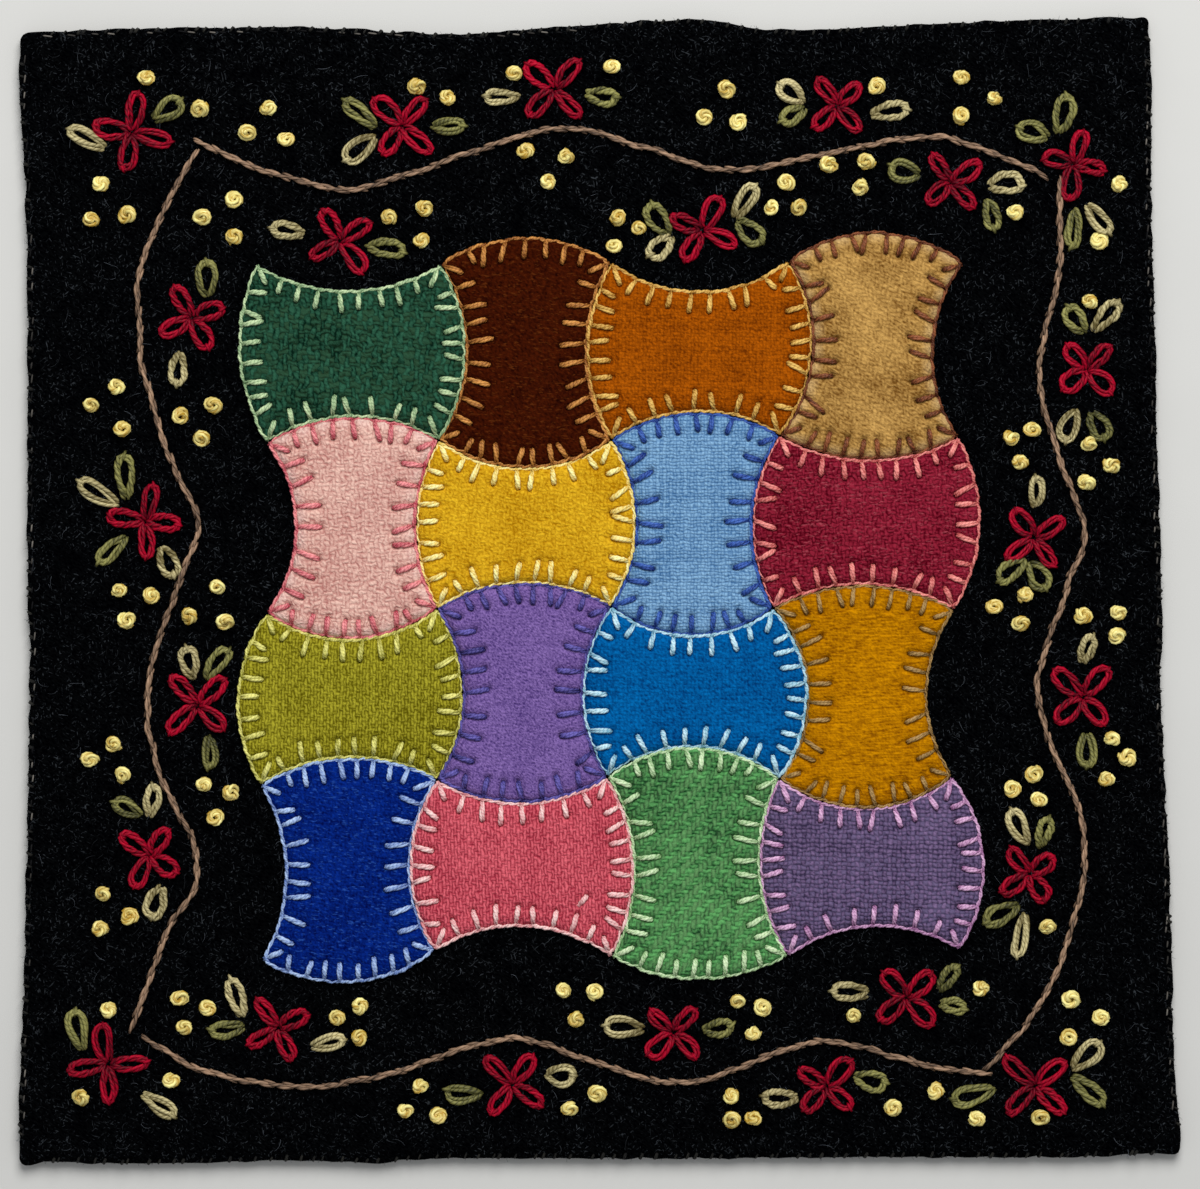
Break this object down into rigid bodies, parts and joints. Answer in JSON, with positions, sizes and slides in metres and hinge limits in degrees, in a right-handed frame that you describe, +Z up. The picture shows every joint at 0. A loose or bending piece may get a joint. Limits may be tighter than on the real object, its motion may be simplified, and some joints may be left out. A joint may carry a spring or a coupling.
{
  "type": "penny rug",
  "caption": "Small square wool mat with a patchwork of curved patches in the middle and an embroidered border of vine, flowers, leaves and knots.",
  "frame": {"origin": "under the middle of the rug, on its flat underside", "axes": "+Z up out of the stitched face, +Y towards the edge above the green and tan patches, +X to the right as seen from above"},
  "size_m": [0.169, 0.167, 0.0043],
  "materials": {
    "ground_wool": "black felted wool",
    "wool_green": "soft felted wool",
    "wool_brown": "soft felted wool",
    "wool_rust": "soft felted wool",
    "wool_tan": "soft felted wool",
    "wool_pink": "soft felted wool",
    "wool_yellow": "soft felted wool",
    "wool_sky": "soft felted wool",
    "wool_crimson": "soft felted wool",
    "wool_lime": "soft felted wool",
    "wool_purple": "soft felted wool",
    "wool_blue": "soft felted wool",
    "wool_mustard": "soft felted wool",
    "wool_royal": "soft felted wool",
    "wool_rose": "soft felted wool",
    "wool_leaf": "soft felted wool",
    "wool_mauve": "soft felted wool",
    "thread_brown": "twisted stem-stitch thread",
    "thread_red": "lustrous embroidery thread"
  },
  "bodies": {
    "root": {"ground": "ground_wool", "patch_green": "wool_green", "patch_brown": "wool_brown", "patch_rust": "wool_rust", "patch_tan": "wool_tan", "patch_pink": "wool_pink", "patch_yellow": "wool_yellow", "patch_sky": "wool_sky", "patch_crimson": "wool_crimson", "patch_lime": "wool_lime", "patch_purple": "wool_purple", "patch_blue": "wool_blue", "patch_mustard": "wool_mustard", "patch_royal": "wool_royal", "patch_rose": "wool_rose", "patch_leaf": "wool_leaf", "patch_mauve": "wool_mauve", "vine_top": "thread_brown", "vine_left": "thread_brown", "vine_right": "thread_brown", "vine_bottom": "thread_brown", "flower_01": "thread_red", "flower_02": "thread_red", "flower_03": "thread_red", "flower_04": "thread_red", "flower_05": "thread_red", "flower_06": "thread_red", "flower_07": "thread_red", "flower_08": "thread_red", "flower_09": "thread_red", "flower_10": "thread_red", "flower_11": "thread_red", "flower_12": "thread_red", "flower_13": "thread_red", "flower_14": "thread_red", "flower_15": "thread_red", "flower_16": "thread_red", "flower_17": "thread_red", "flower_18": "thread_red", "flower_19": "thread_red", "flower_20": "thread_red", "flower_21": "thread_red", "flower_22": "thread_red", "flower_23": "thread_red"}
  },
  "joints": []
}
